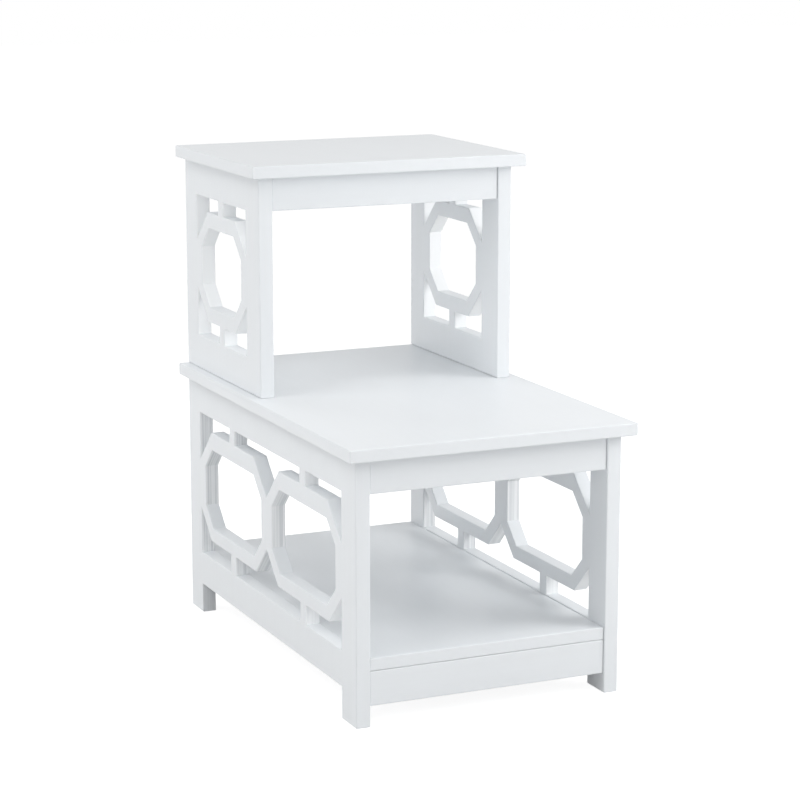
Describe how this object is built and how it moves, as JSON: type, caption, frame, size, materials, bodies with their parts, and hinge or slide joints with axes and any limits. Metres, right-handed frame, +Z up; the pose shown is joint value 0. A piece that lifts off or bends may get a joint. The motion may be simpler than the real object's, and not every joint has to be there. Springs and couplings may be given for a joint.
{
  "type": "step end table",
  "caption": "Step end table: long low top, short raised top behind it, fretwork sides with octagon rings, and an open shelf near the floor.",
  "frame": {"origin": "on the floor under the middle of the long top", "axes": "+Z up, +Y from the low front to the raised back, +X to the right of someone facing the front"},
  "size_m": [0.362, 0.57, 0.61],
  "materials": {
    "white_paint": "satin white paint on fibreboard",
    "beech": "bare beech",
    "zinc_plate": "bright zinc plate"
  },
  "bodies": {
    "root": {"upper_top": "white_paint", "lower_top": "white_paint", "bottom_shelf": "white_paint", "upper_left_panel": "white_paint", "upper_right_panel": "white_paint", "lower_left_panel": "white_paint", "lower_right_panel": "white_paint", "upper_front_apron": "white_paint", "upper_back_apron": "white_paint", "lower_front_apron": "white_paint", "lower_back_apron": "white_paint", "bottom_front_rail": "white_paint", "bottom_back_rail": "white_paint", "upper_top_dowel_left_front": "beech", "upper_top_dowel_left_back": "beech", "upper_top_dowel_right_front": "beech", "upper_top_dowel_right_back": "beech", "lower_top_dowel_left_front": "beech", "lower_top_dowel_left_back": "beech", "lower_top_dowel_right_front": "beech", "lower_top_dowel_right_back": "beech", "step_dowel_left_front": "beech", "step_dowel_left_back": "beech", "step_dowel_right_front": "beech", "step_dowel_right_back": "beech", "shelf_dowel_left_front": "beech", "shelf_dowel_left_back": "beech", "shelf_dowel_right_front": "beech", "shelf_dowel_right_back": "beech", "upper_top_bolt_left_front": "zinc_plate", "upper_top_bolt_left_back": "zinc_plate", "upper_top_bolt_right_front": "zinc_plate", "upper_top_bolt_right_back": "zinc_plate", "lower_top_bolt_left_front": "zinc_plate", "lower_top_bolt_left_back": "zinc_plate", "lower_top_bolt_right_front": "zinc_plate", "lower_top_bolt_right_back": "zinc_plate", "shelf_bolt_left_front": "zinc_plate", "shelf_bolt_left_back": "zinc_plate", "shelf_bolt_right_front": "zinc_plate", "shelf_bolt_right_back": "zinc_plate", "upper_top_cam_left_front": "zinc_plate", "upper_top_cam_left_back": "zinc_plate", "upper_top_cam_right_front": "zinc_plate", "upper_top_cam_right_back": "zinc_plate", "lower_top_cam_left_front": "zinc_plate", "lower_top_cam_left_back": "zinc_plate", "lower_top_cam_right_front": "zinc_plate", "lower_top_cam_right_back": "zinc_plate", "shelf_cam_left_front": "zinc_plate", "shelf_cam_left_back": "zinc_plate", "shelf_cam_right_front": "zinc_plate", "shelf_cam_right_back": "zinc_plate", "step_screw_left_front": "zinc_plate", "step_screw_left_back": "zinc_plate", "step_screw_right_front": "zinc_plate", "step_screw_right_back": "zinc_plate"}
  },
  "joints": []
}
